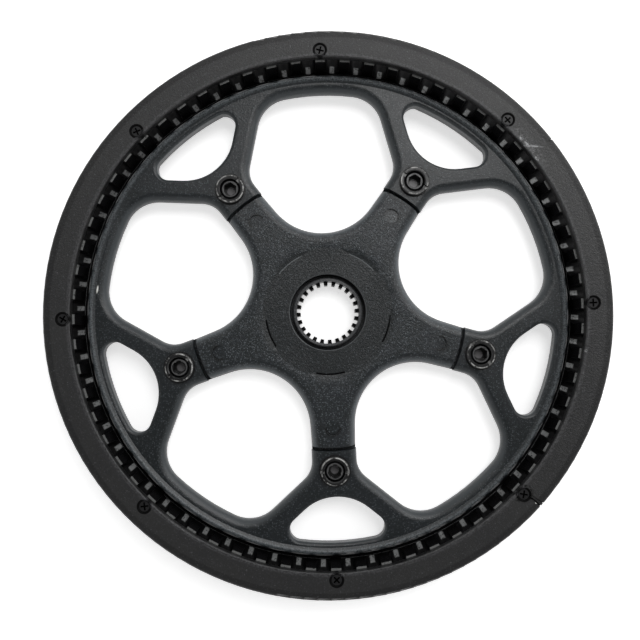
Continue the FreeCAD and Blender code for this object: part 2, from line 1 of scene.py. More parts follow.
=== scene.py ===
# %% [markdown]
# # A bicycle's belt sprocket, finished in Blender
# The sprocket comes from CAD as solids: a cast ring with belt teeth, a guard ring screwed onto the teeth, a
# five-arm spider with a splined sleeve, and the nuts, bolts and screws that hold them together. They could be
# modelled once more by hand, but then there would be two shapes to keep alike, so the solids are loaded as they
# are. They already have the true shape, so this lesson is about finishes: cast metal under black paint, moulded
# plastic with a crack in it, and dark steel.

# %% Load the frame
import math

import bmesh
import bpy
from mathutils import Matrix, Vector


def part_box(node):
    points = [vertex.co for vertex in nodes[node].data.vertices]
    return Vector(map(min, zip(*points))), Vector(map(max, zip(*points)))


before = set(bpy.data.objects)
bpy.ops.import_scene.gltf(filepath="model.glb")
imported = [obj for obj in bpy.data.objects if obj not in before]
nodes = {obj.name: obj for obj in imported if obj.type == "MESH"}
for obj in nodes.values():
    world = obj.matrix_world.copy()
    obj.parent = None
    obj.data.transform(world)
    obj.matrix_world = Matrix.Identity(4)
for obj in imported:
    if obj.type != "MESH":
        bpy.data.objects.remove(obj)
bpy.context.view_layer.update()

print("pieces from the frame:", len(nodes))

# %% [markdown]
# ## Levels
# A finish that changes from one zone to the next needs to know where the zones are. The heights could be typed
# in, but they would be wrong as soon as the CAD changes, so they are read from the pieces themselves. Sizes on
# the sprocket are millimetres, because that is how a machinist says them, and MM turns them into Blender's metres.

# %% Levels
MM = 0.001
GUARD_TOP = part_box("guard_ring")[1].z / MM
BAND_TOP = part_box("sprocket_ring")[1].z / MM
PLATE_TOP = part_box("spider")[1].z / MM
NUT_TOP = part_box("chainring_nut_1")[1].z / MM
SCREW_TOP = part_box("guard_screw_1")[1].z / MM
print(f"guard top {GUARD_TOP:.1f}, teeth {BAND_TOP:.1f}, plate {PLATE_TOP:.1f}, nuts {NUT_TOP:.1f} mm")

# %% [markdown]
# ## Smooth walls, crisp edges
# A mesh that comes from CAD is a heap of loose triangles, so a round edge shows its facets. The triangles could
# be joined and smoothed in the mesh itself, but the mesh has to stay as it is. Modifiers do the work: Weld joins
# the triangles, Edge Split keeps every real corner sharp, and Weighted Normal lets the large flat faces stay flat
# beside their rounded edges.

# %% Smooth walls, crisp edges
WELD_GAP = 0.002 * MM
CORNER_ANGLE = math.radians(28)
FLAT_FACE_WEIGHT = 100


def smooth_walls(piece):
    """Shade a piece's round walls smooth and keep its corners."""
    piece.data.polygons.foreach_set("use_smooth", [True] * len(piece.data.polygons))
    weld = piece.modifiers.new("join triangles", "WELD")
    weld.merge_threshold = WELD_GAP
    split = piece.modifiers.new("keep corners", "EDGE_SPLIT")
    split.split_angle = CORNER_ANGLE
    level = piece.modifiers.new("flat faces stay flat", "WEIGHTED_NORMAL")
    level.weight = FLAT_FACE_WEIGHT
    level.keep_sharp = True


for piece in nodes.values():
    smooth_walls(piece)
print("triangles:", sum(len(piece.data.polygons) for piece in nodes.values()))

# %% [markdown]
# ## Colours as they are seen
# A painter names a colour as a screen shows it, from 0 to 255. Blender calculates with amounts of light, so a
# seen colour is turned into linear values by the curve of the sRGB standard. Linear values could be typed in
# instead, but black paints are hard to tell apart that way.

# %% Colours as they are seen


def colour(red, green, blue):
    """A display colour, 0 to 255 each, as Blender's linear colour."""
    linear = []
    for part in (red, green, blue):
        share = part / 255
        linear.append(share / 12.92 if share <= 0.04045 else ((share + 0.055) / 1.055) ** 2.4)
    return (*linear, 1.0)


print("a seen grey of 118 is", round(colour(118, 118, 118)[0], 3), "in linear light")

# %% [markdown]
# ## A finish and its nodes
# Every finish starts from a Principled shader and the object's own coordinates, so the pattern stays on the piece
# when the camera moves. The nodes could be laid by hand in the shader editor. A small class lays the same nodes
# with one line each, and the lines can be read in their order.

# %% A finish and its nodes
BUMP_STRENGTH = 0.8


class Wiring:
    """A material with a Principled shader, and the plain nodes that lead to it."""

    def __init__(self, name):
        self.material = bpy.data.materials.new(name)
        self.material.use_nodes = True
        self.tree = self.material.node_tree
        self.shader = self.tree.nodes["Principled BSDF"]
        coordinates = self.tree.nodes.new("ShaderNodeTexCoord")
        scale = self.vector("SCALE", coordinates.outputs["Object"])
        scale.inputs["Scale"].default_value = 1 / MM
        self.place = scale.outputs["Vector"]
        self.x, self.y, self.height = self.parts(self.place)
        self.up = self.parts(coordinates.outputs["Normal"])[2]
        flat = self.vector("MULTIPLY", self.place, (1, 1, 0)).outputs["Vector"]
        self.radius = self.vector("LENGTH", flat).outputs["Value"]

    def parts(self, socket):
        """The three numbers of a vector."""
        node = self.tree.nodes.new("ShaderNodeSeparateXYZ")
        self.tree.links.new(socket, node.inputs["Vector"])
        return node.outputs["X"], node.outputs["Y"], node.outputs["Z"]

    def vector(self, operation, first, second=None):
        """A vector math node."""
        node = self.tree.nodes.new("ShaderNodeVectorMath")
        node.operation = operation
        self.tree.links.new(first, node.inputs[0])
        if second is not None:
            node.inputs[1].default_value = second
        return node

    def math(self, operation, first, second=0.0):
        """A math node on a socket and a socket or number."""
        node = self.tree.nodes.new("ShaderNodeMath")
        node.operation = operation
        self.tree.links.new(first, node.inputs[0])
        if isinstance(second, (int, float)):
            node.inputs[1].default_value = second
        else:
            self.tree.links.new(second, node.inputs[1])
        return node.outputs["Value"]

    def feed(self, name, socket):
        """Lead a socket into one of the shader's inputs."""
        self.tree.links.new(socket, self.shader.inputs[name])

    def use(self, paint, rough, relief, depth):
        """Give the shader its colour, its roughness and its relief, whose depth is in millimetres."""
        self.feed("Base Color", paint)
        self.feed("Roughness", rough)
        bump = self.tree.nodes.new("ShaderNodeBump")
        bump.inputs["Strength"].default_value = BUMP_STRENGTH
        bump.inputs["Distance"].default_value = depth * MM
        self.tree.links.new(relief, bump.inputs["Height"])
        self.feed("Normal", bump.outputs["Normal"])
        return self.material


print("wiring:", [name for name in vars(Wiring) if not name.startswith("_")])

# %% [markdown]
# ## Masks
# A mask is a number from 0 to 1 that says where a colour goes. It could be painted by hand as a picture, but a
# picture has only so many dots and needs a layout of the faces. These masks are calculated from height, radius
# and noise, so they stay sharp from close by.

# %% Masks


class Masks(Wiring):
    """Masks, and what they mix."""

    def both(self, *masks):
        """What all masks share."""
        shared = masks[0]
        for mask in masks[1:]:
            shared = self.math("MULTIPLY", shared, mask)
        return shared

    def either(self, *masks):
        """What any of the masks covers."""
        joined = masks[0]
        for mask in masks[1:]:
            joined = self.math("MAXIMUM", joined, mask)
        return joined

    def between(self, value, low, high):
        """0 at low and before it, 1 at high and beyond it, smooth between them."""
        node = self.tree.nodes.new("ShaderNodeMapRange")
        node.interpolation_type = "SMOOTHSTEP"
        self.tree.links.new(value, node.inputs["Value"])
        node.inputs["From Min"].default_value = low
        node.inputs["From Max"].default_value = high
        return node.outputs["Result"]

    def line(self, value, middle, width):
        """1 where a value is at the middle, 0 from a width away."""
        return self.between(self.math("ABSOLUTE", self.math("SUBTRACT", value, middle)), width, width / 3)

    def ranged(self, value, low, high):
        """A mask from 0 to 1 turned into a number from low to high."""
        node = self.tree.nodes.new("ShaderNodeMapRange")
        self.tree.links.new(value, node.inputs["Value"])
        node.inputs["To Min"].default_value = low
        node.inputs["To Max"].default_value = high
        return node.outputs["Result"]

    def tint(self, mask, first, second):
        """Mix two colours, each a colour or a socket, by a mask."""
        node = self.tree.nodes.new("ShaderNodeMix")
        node.data_type = "RGBA"
        self.tree.links.new(mask, node.inputs["Factor"])
        for name, part in (("A", first), ("B", second)):
            socket = next(s for s in node.inputs if s.name == name and s.type == "RGBA")
            if isinstance(part, tuple):
                socket.default_value = part
            else:
                self.tree.links.new(part, socket)
        return next(s for s in node.outputs if s.type == "RGBA")

    def dull(self, mask, clean=0.5, dirty=0.05):
        """Turn the shader's mirror down where a mask lies."""
        self.feed("Specular IOR Level", self.ranged(mask, clean, dirty))


print("masks:", [name for name in vars(Masks) if not name.startswith("_")])

# %% [markdown]
# ## Patterns
# Grain, flecks and marks are what a cast or moulded surface has after years of use. Noise gives grain without a
# seam or a repeat. Flecks are Voronoi cells, a share of them picked at random. A mark is one oval at a chosen
# place. What comes once for every arm or screw, such as the painted shade round each nut, could be drawn five or
# eight times. Here it is drawn once, on a spoke that repeats.

# %% Patterns
FLECK_EDGE = (0.42, 0.15)
ANY_HEIGHT = 1000


class Finish(Masks):
    """The patterns of real surfaces, all sizes in millimetres."""

    def grain(self, size, detail=2.0, rough=0.5):
        """Noise with grains of about a size, from 0 to 1."""
        node = self.tree.nodes.new("ShaderNodeTexNoise")
        self.tree.links.new(self.place, node.inputs["Vector"])
        node.inputs["Scale"].default_value = 1 / size
        node.inputs["Detail"].default_value = detail
        node.inputs["Roughness"].default_value = rough
        return node.outputs["Fac"]

    def flecks(self, size, share):
        """Single flecks: cells of a size, of which a share is picked by the cell's own random number."""
        node = self.tree.nodes.new("ShaderNodeTexVoronoi")
        self.tree.links.new(self.place, node.inputs["Vector"])
        node.inputs["Scale"].default_value = 1 / size
        chance = self.tree.nodes.new("ShaderNodeSeparateColor")
        self.tree.links.new(node.outputs["Color"], chance.inputs["Color"])
        picked = self.between(chance.outputs["Red"], 1 - share, 1 - share / 2)
        return self.both(picked, self.between(node.outputs["Distance"], *FLECK_EDGE))

    def mark(self, x, y, length, width, angle=0.0, soft=0.4):
        """An oval mark at a place seen from above, given by half its length and half its width."""
        node = self.tree.nodes.new("ShaderNodeMapping")
        node.vector_type = "TEXTURE"
        self.tree.links.new(self.place, node.inputs["Vector"])
        node.inputs["Location"].default_value = (x, y, 0)
        node.inputs["Rotation"].default_value = (0, 0, angle)
        node.inputs["Scale"].default_value = (length, width, ANY_HEIGHT)
        away = self.vector("LENGTH", node.outputs["Vector"]).outputs["Value"]
        return self.between(away, 1 + soft, 1 - soft)

    def on_spoke(self, count, phase):
        """How far along and across the nearest of some even spokes a place lies, and the angle off that spoke."""
        pitch = math.tau / count
        angle = self.math("ARCTAN2", self.y, self.x)
        angle = self.math("ADD", angle, math.tau + pitch / 2 - phase)
        angle = self.math("SUBTRACT", self.math("MODULO", angle, pitch), pitch / 2)
        along = self.math("MULTIPLY", self.radius, self.math("COSINE", angle))
        across = self.math("MULTIPLY", self.radius, self.math("SINE", angle))
        return along, across, angle

    def off_point(self, along, across, distance):
        """The distance from a point on each spoke's middle line."""
        step = self.math("SUBTRACT", along, distance)
        squares = self.math("ADD", self.math("MULTIPLY", step, step), self.math("MULTIPLY", across, across))
        return self.math("SQRT", squares)


print("patterns:", [name for name in vars(Finish) if not name.startswith("_")])

# %% [markdown]
# ## The grain of castings and mouldings
# Ring, spider and guard all have a fine grain from the mould, so they share one recipe: a base colour in soft
# clouds, a fine speckle, and single pale flecks. A plain colour with a rough shader would be quicker, but it looks
# like rubber. The speckle also serves as relief later on: it sparkles where a lamp is mirrored.

# %% The grain of castings and mouldings
SPECKLE_SIZE = 0.9


def grainy(finish, cloud_size, base, speckle_colour, flecks):
    """A colour with clouds, speckle and flecks, and the speckle by itself."""
    speckle = finish.grain(SPECKLE_SIZE, detail=4.0, rough=0.75)
    clouds = finish.between(finish.grain(cloud_size), 0.35, 0.65)
    paint = finish.tint(clouds, *base)
    paint = finish.tint(finish.between(speckle, 0.5, 0.7), paint, speckle_colour)
    for size, share, fleck_colour in flecks:
        paint = finish.tint(finish.flecks(size, share), paint, fleck_colour)
    return paint, speckle


def dress(material, *names):
    """Put a material on every face of the named nodes."""
    for name in names:
        piece = nodes[name]
        piece.data.materials.clear()
        piece.data.materials.append(material)
    print(material.name, "on", len(names), "pieces")


print("speckle of", SPECKLE_SIZE, "mm")

# %% [markdown]
# ## Marks on the ring's plate
# Painted shade darkens a ring round each nut, a paler tint on the rounded window edges is a painted sheen, and one
# chip near the shoulder has gone through to pale primer. The edges could be found with a Bevel node or with
# Pointiness. Here the normal finds them, because an edge is where it turns away from straight up, and the height
# keeps the paint off the back.

# %% Marks on the ring's plate
ARMS = 5
ARM_PHASE = math.radians(56.5)
BOLT_CIRCLE_R = 65.0
NUT_SHADE_R = 6.7
PLATE_CHIP = (-95.0, 9.3)
CHIP_ANGLE = math.radians(82)
PLATE_OUTER_R = 95.0
SKIRT_TOP = 5.5


def plate_marks(finish, paint):
    """Painted shade round the nuts, a chip in the paint and a painted sheen on the window edges."""
    along, across, _ = finish.on_spoke(ARMS, ARM_PHASE)
    # painted shade: a nearly black ring round each nut stands in for the shade at its foot
    painted_shade = finish.between(finish.off_point(along, across, BOLT_CIRCLE_R), NUT_SHADE_R, NUT_SHADE_R - 0.4)
    paint = finish.tint(painted_shade, paint, colour(7, 7, 8))
    chip = finish.mark(*PLATE_CHIP, length=1.5, width=0.32, angle=CHIP_ANGLE)
    paint = finish.tint(chip, paint, colour(222, 222, 218))
    # painted sheen: the rounded window edges are tinted paler where they catch the light
    edge = finish.both(finish.between(finish.up, 0.98, 0.7),
                       finish.between(finish.radius, PLATE_OUTER_R, PLATE_OUTER_R - 1.0),
                       finish.between(finish.height, SKIRT_TOP, SKIRT_TOP + 0.4))
    return finish.tint(edge, paint, colour(46, 51, 54))


# the rings round the nuts named here are painted shade
print("chip at", PLATE_CHIP, "mm, stains round", ARMS, "nuts")

# %% [markdown]
# ## Where the belt runs
# Painted shade makes the groove and the tooth walls nearly black, and their mirror is turned down. The floor of
# each tooth gap and the tops of the teeth are painted grey as painted light, in patches that follow the grain, and
# the floors on the far side are painted darker as painted shade. The crest of the shoulder's bead carries a
# speckled painted highlight. Each of the 64 gaps could have its own marks. Radius, height and normal pick the same
# places in all of them at once, because every tooth is alike.

# %% Where the belt runs
CREST_R = 97.5
GROOVE_R = 99.0
TOOTH_R = 102.2
LIT_FLOOR_R = 106.0
FLANGE_BACK = 0.2
FAR_SHADE_FADE = 40.0


def band_shade_and_light(finish, paint, speckle):
    """Painted shade over the whole tooth band, and painted light on the gap floors, the tooth tops and the bead's
    crest.
    """
    # painted shade: the groove, the tooth walls and the whole band are painted nearly black
    band = finish.both(finish.between(finish.radius, GROOVE_R - 0.4, GROOVE_R),
                       finish.between(finish.height, FLANGE_BACK, FLANGE_BACK + 0.6))
    paint = finish.tint(band, paint, colour(15, 15, 16))
    # painted highlight: a speckled paler line on the bead's crest
    crest = finish.both(finish.line(finish.radius, CREST_R, 1.2), finish.between(finish.grain(0.55), 0.36, 0.58))
    paint = finish.tint(crest, paint, colour(72, 77, 80))
    # painted light: the floors of the tooth gaps are painted pale grey, and darker on the far side as painted
    # shade
    teeth = finish.between(finish.radius, TOOTH_R - 0.2, TOOTH_R)
    mottle = finish.between(speckle, 0.32, 0.52)
    far_side_shade = finish.ranged(finish.between(finish.y, -FAR_SHADE_FADE, FAR_SHADE_FADE), 1.0, 0.65)
    floors = finish.both(teeth, finish.between(finish.up, 0.88, 0.92), mottle, far_side_shade,
                         finish.between(finish.radius, LIT_FLOOR_R, LIT_FLOOR_R - 0.8))
    paint = finish.tint(floors, paint, colour(150, 152, 152))
    finish.feed("Metallic", finish.ranged(floors, 0.0, 0.25))
    # painted light: the tops of the teeth are painted grey
    tops = finish.both(teeth, finish.between(finish.height, BAND_TOP - 0.3, BAND_TOP - 0.1), mottle)
    paint = finish.tint(tops, paint, colour(118, 119, 118))
    finish.dull(finish.both(band, finish.between(floors, 0.6, 0.1)))
    return paint


# the floors between these radii are painted light
print("belt rubs from radius", TOOTH_R, "to", LIT_FLOOR_R, "mm")

# %% [markdown]
# ## Cast ring under satin paint
# The ring is a die casting with a thin satin black coat, which follows the grain of the casting. The grain could
# be modelled as real bumps, at the price of millions of faces. A shallow bump in the shader does the same for the
# light.

# %% Cast ring under satin paint
RING_BASE = (colour(17, 22, 24), colour(22, 26, 29))
RING_FLECKS = ((0.7, 0.45, colour(72, 77, 80)), (0.6, 0.2, colour(76, 81, 85)))


def cast_coat():
    """Satin black paint on a casting, with painted shade and painted light on the plate and in the tooth band."""
    finish = Finish("cast_ring_satin_black")
    paint, speckle = grainy(finish, 14.0, RING_BASE, colour(46, 51, 54), RING_FLECKS)
    paint = plate_marks(finish, paint)
    paint = band_shade_and_light(finish, paint, speckle)
    rough = finish.ranged(finish.grain(2.2), 0.27, 0.36)
    return finish.use(paint, rough, speckle, depth=0.18)


dress(cast_coat(), "sprocket_ring")

# %% [markdown]
# ## Marks on the hub
# The spider's hub face is cut a little deeper and is painted a little darker, with duller flecks. The edges of the
# five lobes round it carry a painted highlight on the far side of the hub and painted shade on the near side, and
# the edge of the bore carries a paler painted highlight. The lobes themselves are cut in CAD. What is on their
# edges could be modelled as a thin strip, but these lines of light and shade have no thickness to speak of, so
# lines of colour do.

# %% Marks on the hub
HUB_FACE_R = 26.4
LOBE_R = 25.6
LOBE_HALF_ANGLE = math.radians(13)
BORE_EDGE_R = 15.85
SIDE_FADE = 6.0


def hub_marks(finish, paint, angle, front):
    """A darker sunk face, a painted highlight on the far lobe edges and painted shade on the near ones, and a
    painted highlight round the bore.
    """
    sunk = finish.both(finish.between(finish.height, PLATE_TOP - 0.1, PLATE_TOP - 0.3),
                       finish.between(finish.radius, HUB_FACE_R + 2.4, HUB_FACE_R + 0.4))
    dark = finish.tint(finish.flecks(0.7, 0.5), colour(18, 22, 24), colour(68, 73, 77))
    paint = finish.tint(sunk, paint, dark)
    off_middle = finish.math("ABSOLUTE", angle)
    on_lobe = finish.both(finish.between(off_middle, LOBE_HALF_ANGLE * 1.05, LOBE_HALF_ANGLE), front)
    far_side = finish.between(finish.y, -SIDE_FADE, SIDE_FADE)
    # painted highlight: the lobe edges on the far side are painted pale
    lobe_highlight = finish.both(finish.line(finish.radius, LOBE_R, 0.32), on_lobe, far_side)
    paint = finish.tint(lobe_highlight, paint, colour(92, 96, 98))
    # painted shade: the same edges on the near side are painted nearly black
    near_side = finish.between(finish.y, SIDE_FADE, -SIDE_FADE)
    painted_shade = finish.both(finish.line(finish.radius, LOBE_R, 0.55), on_lobe, near_side)
    paint = finish.tint(painted_shade, paint, colour(2, 2, 3))
    finish.dull(painted_shade)
    # painted highlight: a paler line round the edge of the bore
    return finish.tint(finish.line(finish.radius, BORE_EDGE_R, 0.25), paint, colour(66, 69, 71))


print("hub face of radius", HUB_FACE_R, "mm with", ARMS, "lobes")

# %% [markdown]
# ## Marks on the arms
# A moulding pin has left a round mark on each arm, and painted shade darkens its deep side. The arms' rounded
# edges are tinted a little paler as a painted sheen, and the walls below them are painted dark as painted shade.
# It could be drawn as five marks. One on a repeating spoke stands for all, because the arms are alike.

# %% Marks on the arms
MARK_U = 47.7
MARK_R = 2.9


def arm_marks(finish, paint, along, across, front):
    """Painted shade in the round marks, a painted sheen on the edges and painted shade on the walls."""
    # painted shade: the deep side of each round mark is painted nearly black
    ring = finish.both(finish.line(finish.off_point(along, across, MARK_U), MARK_R, 0.6),
                       finish.between(along, MARK_U - 1.6, MARK_U + 0.2), front)
    paint = finish.tint(ring, paint, colour(3, 4, 4))
    # painted sheen: the rounded edges are tinted paler
    edge = finish.both(finish.between(finish.up, 0.98, 0.7),
                       finish.between(finish.radius, HUB_FACE_R, HUB_FACE_R + 3.0))
    paint = finish.tint(finish.ranged(edge, 0.0, 0.7), paint, colour(80, 86, 90))
    # painted shade: the steep walls below the edges are painted dark
    wall = finish.both(finish.between(finish.height, PLATE_TOP - 1.0, PLATE_TOP - 2.6),
                       finish.between(finish.up, 0.5, 0.2))
    return finish.tint(wall, paint, colour(14, 15, 16))


print("round marks at", MARK_U, "mm from the axis")

# %% [markdown]
# ## Spider with a sunk hub face
# The spider has the same coat as the ring with a stronger sparkle. It could share the ring's material. It has its
# own, because its flecks are paler, its relief is deeper and its marks are others. A mask of the height keeps the
# marks off the back.

# %% Spider with a sunk hub face
SPIDER_BASE = (colour(17, 22, 24), colour(22, 26, 30))
SPIDER_FLECKS = ((0.7, 0.55, colour(88, 94, 98)), (0.6, 0.4, colour(82, 88, 92)))


def spider_coat():
    """Satin black paint with sparkle, darker on the sunk hub face, with painted highlights, painted sheen and
    painted shade at the small steps, edges and walls.
    """
    finish = Finish("spider_satin_black")
    paint, speckle = grainy(finish, 9.0, SPIDER_BASE, colour(48, 53, 57), SPIDER_FLECKS)
    along, across, angle = finish.on_spoke(ARMS, ARM_PHASE)
    front = finish.between(finish.height, PLATE_TOP - 3.0, PLATE_TOP - 2.5)
    paint = hub_marks(finish, paint, angle, front)
    paint = arm_marks(finish, paint, along, across, front)
    rough = finish.ranged(finish.grain(2.0), 0.27, 0.36)
    return finish.use(paint, rough, speckle, depth=0.24)


dress(spider_coat(), "spider")

# %% [markdown]
# ## Scratches at the hairline crack
# The guard took a blow. At its upper right a hairline crack has pale scratches, nicks and a whitened line beside
# it, where the plastic was stretched. The crack itself is cut in CAD. The scratches could be drawn stroke by
# stroke. They are noise held inside an oval, because single strokes would look drawn.

# %% Scratches at the hairline crack
STRESS_ANGLE = math.radians(40.0)
STRESS_R = 104.4
HAIRLINE_ANGLE = math.radians(37.6)
HAIRLINE_R = 112.2
PALE_CRACK = (82.0, 66.3)
PALE_CRACK_ANGLE = math.radians(-4)
INNER_NICKS = ((42.0, 104.0, 1.0), (40.0, 104.3, 1.4), (36.1, 103.8, 1.0), (351.2, 103.6, 0.6))
DARK_SPOTS = ((78.4, 71.7, 0.5, colour(10, 10, 10)), (108.2, 24.9, 0.7, colour(14, 14, 15)))


def on_circle(radius, angle):
    """A place on a circle about the axis, seen from above."""
    return radius * math.cos(angle), radius * math.sin(angle)


def stress_marks(finish, paint, streaks):
    """Pale scratches, nicks and a whitened line, two dark spots, and the end of the hairline crack."""
    scuffed = finish.mark(*on_circle(STRESS_R, STRESS_ANGLE), length=9.0, width=2.4,
                          angle=STRESS_ANGLE + math.pi / 2, soft=0.7)
    scuffed = finish.both(scuffed, finish.between(streaks, 0.46, 0.6))
    paint = finish.tint(scuffed, paint, colour(92, 92, 93))
    for degrees, radius, length in INNER_NICKS:
        nick = finish.mark(*on_circle(radius, math.radians(degrees)), length, width=0.45,
                           angle=math.radians(degrees + 90))
        paint = finish.tint(nick, paint, colour(158, 159, 160))
    whitened = finish.mark(*PALE_CRACK, length=4.2, width=0.32, angle=PALE_CRACK_ANGLE)
    whitened = finish.both(whitened, finish.between(streaks, 0.4, 0.5))
    paint = finish.tint(whitened, paint, colour(132, 133, 134))
    for x, y, length, spot_colour in DARK_SPOTS:
        paint = finish.tint(finish.mark(x, y, length, width=0.5), paint, spot_colour)
    hairline = finish.mark(*on_circle(HAIRLINE_R, HAIRLINE_ANGLE), length=1.7, width=0.28,
                           angle=HAIRLINE_ANGLE, soft=0.2)
    return finish.tint(hairline, paint, colour(5, 5, 5))


print("nicks:", len(INNER_NICKS), "dark spots:", len(DARK_SPOTS))

# %% [markdown]
# ## Smears at the broken screw
# At its lower right the guard is cracked beside a screw. The plastic round that screw is smeared black, a short
# black line runs from it, and one white fleck shows. A smear could be one plain oval. Noise breaks it up, because
# plastic doesn't smear evenly.

# %% Smears at the broken screw
SCREWS = 8
SCREW_PHASE = math.radians(1.8)
SCREW_CIRCLE_R = 105.75
BROKEN_SCREW_ANGLE = math.radians(316.8)
SMEAR_R = SCREW_CIRCLE_R - 0.9
CRACK_ROOT = (80.0, -74.0)
CRACK_ROOT_ANGLE = math.radians(-20)
WHITE_FLECK = (81.9, -75.6)


def blow_marks(finish, paint, streaks):
    """Black smears with a short line and a white fleck; gives the colour and the smears."""
    smear = finish.mark(*on_circle(SMEAR_R, BROKEN_SCREW_ANGLE), length=4.0, width=3.6, soft=0.2)
    smear = finish.both(smear, finish.between(streaks, 0.5, 0.53))
    root = finish.mark(*CRACK_ROOT, length=2.0, width=0.26, angle=CRACK_ROOT_ANGLE)
    smear = finish.either(smear, root)
    paint = finish.tint(smear, paint, colour(3, 3, 3))
    fleck = finish.mark(*WHITE_FLECK, length=0.5, width=0.38)
    return finish.tint(fleck, paint, colour(228, 228, 225)), smear


print("broken screw at", [round(part, 1) for part in on_circle(SCREW_CIRCLE_R, BROKEN_SCREW_ANGLE)], "mm")

# %% [markdown]
# ## Moulded guard, cracked and scuffed
# The guard is moulded black plastic with a fine spark-eroded grain. The seats of the screws are painted black as
# painted shade, and so are its inner wall and the cracks. Its inner edge carries a speckled painted highlight, and
# its outer rim is a little duller.
# Smears and seats could just have a darker colour, but a shiny black still mirrors the lamps, so their mirror is
# turned down as well.

# %% Moulded guard, cracked and scuffed
GUARD_BASE = (colour(25, 25, 26), colour(29, 29, 29))
GUARD_FLECKS = ((0.7, 0.4, colour(52, 52, 54)), (0.8, 0.05, colour(66, 67, 69)))
SEAT_R = 3.1
INNER_EDGE_R = 103.8
RIM_R = 110.5


def guard_plastic():
    """Spark-eroded black plastic with pale scratches and dark smears."""
    finish = Finish("guard_moulded_black")
    paint, speckle = grainy(finish, 18.0, GUARD_BASE, colour(40, 40, 42), GUARD_FLECKS)
    streaks = finish.grain(1.6, detail=5.0, rough=0.8)
    paint = stress_marks(finish, paint, streaks)
    paint, smear = blow_marks(finish, paint, streaks)
    along, across, _ = finish.on_spoke(SCREWS, SCREW_PHASE)
    # painted shade: the seat round each screw head is painted black
    seat = finish.between(finish.off_point(along, across, SCREW_CIRCLE_R), SEAT_R, SEAT_R - 0.3)
    paint = finish.tint(seat, paint, colour(6, 6, 6))
    # painted highlight: a speckled pale line along the inner edge
    inner_edge = finish.both(finish.line(finish.radius, INNER_EDGE_R, 0.9), finish.between(speckle, 0.4, 0.6))
    paint = finish.tint(inner_edge, paint, colour(58, 58, 60))
    rim = finish.between(finish.radius, RIM_R, RIM_R + 0.8)
    paint = finish.tint(finish.ranged(rim, 0.0, 0.2), paint, colour(12, 12, 13))
    finish.dull(finish.either(finish.ranged(rim, 0.0, 0.3), smear, seat))
    # painted shade: every face below the top, such as the inner wall and the cracks' bottoms, is painted nearly
    # black
    wall_shade = finish.between(finish.height, GUARD_TOP - 0.3, GUARD_TOP - 0.7)
    paint = finish.tint(wall_shade, paint, colour(11, 11, 12))
    rough = finish.ranged(finish.grain(2.4), 0.32, 0.44)
    return finish.use(paint, rough, speckle, depth=0.3)


dress(guard_plastic(), "guard_ring")

# %% [markdown]
# ## Blackened nuts and bolts
# The nuts and bolts are blackened steel, smoother than the paint round them. A tool has rubbed the rims of the
# nuts to bare metal, here more and there less, and the floors of their slots carry a painted highlight in the same
# patches. The bolts' ends show a painted highlight on their rim and a floor in the hexagon painted pale as painted
# light. Each piece could have its own material. One for all ten is enough, because the repeating spoke puts every
# nut at the same place.

# %% Blackened nuts and bolts
NUT_RIM_R = 5.5
SLOT_FLOOR = NUT_TOP - 0.9
BOLT_RIM_R = 3.15
KEY_R = 1.9
KEY_FLOOR = 8.0


def blackened_steel():
    """Oxide-black steel, rubbed to the metal on the rims of the nuts, with painted highlights on the slot floors,
    the bolts' rims and the hexagon floors.
    """
    finish = Finish("bolts_and_nuts_blackened_steel")
    speckle = finish.grain(0.5, detail=3.0, rough=0.7)
    wear_and_glint_patches = finish.between(finish.grain(2.6, detail=3.0, rough=0.65), 0.42, 0.62)
    paint = finish.tint(finish.between(speckle, 0.5, 0.75), colour(13, 13, 14), colour(36, 37, 38))
    along, across, _ = finish.on_spoke(ARMS, ARM_PHASE)
    off_axis = finish.off_point(along, across, BOLT_CIRCLE_R)
    level = finish.between(finish.up, 0.3, 0.6)
    rim = finish.both(finish.line(off_axis, NUT_RIM_R, 0.36), level, wear_and_glint_patches)
    paint = finish.tint(rim, paint, colour(168, 168, 166))
    # painted highlight: the floors of the slots are painted pale
    floor = finish.both(finish.line(finish.height, SLOT_FLOOR, 0.15), level, wear_and_glint_patches)
    paint = finish.tint(floor, paint, colour(120, 120, 119))
    # painted highlight: a pale rim on the bolts' ends
    end = finish.both(finish.line(off_axis, BOLT_RIM_R, 0.3), level)
    paint = finish.tint(end, paint, colour(84, 84, 85))
    # painted light: the floor of the hexagon is painted pale
    key = finish.both(finish.between(off_axis, KEY_R, KEY_R - 0.4), level,
                      finish.between(finish.height, KEY_FLOOR + 1.0, KEY_FLOOR))
    paint = finish.tint(key, paint, colour(118, 116, 118))
    rough = finish.ranged(finish.grain(1.5), 0.26, 0.42)
    return finish.use(paint, rough, speckle, depth=0.03)


dress(blackened_steel(), *[name for name in nodes if name.startswith("chainring_")])

# %% [markdown]
# ## Guard screws
# The screws' heads are as dull as the guard, and their rims and crosses are painted black as painted shade. The
# cross is cut in CAD and could be left to its own shadow. The lamps still reach into it, so its colour and its
# mirror are turned down below the head's face.

# %% Guard screws
SCREW_RIM_R = 1.95


def screw_steel():
    """Screw heads as dull as the guard, with a rim and a cross painted black as painted shade."""
    finish = Finish("guard_screws_blackened_steel")
    speckle = finish.grain(0.5, detail=3.0, rough=0.7)
    paint = finish.tint(finish.between(speckle, 0.45, 0.75), colour(20, 20, 21), colour(36, 36, 38))
    along, across, _ = finish.on_spoke(SCREWS, SCREW_PHASE)
    off_axis = finish.off_point(along, across, SCREW_CIRCLE_R)
    # painted shade: the rim round the head and the cross are painted black
    deep = finish.either(finish.between(finish.height, SCREW_TOP - 0.05, SCREW_TOP - 0.15),
                         finish.between(off_axis, SCREW_RIM_R, SCREW_RIM_R + 0.2))
    paint = finish.tint(deep, paint, colour(4, 4, 4))
    finish.dull(deep, clean=0.35, dirty=0.02)
    rough = finish.ranged(finish.grain(1.5), 0.36, 0.5)
    return finish.use(paint, rough, speckle, depth=0.03)


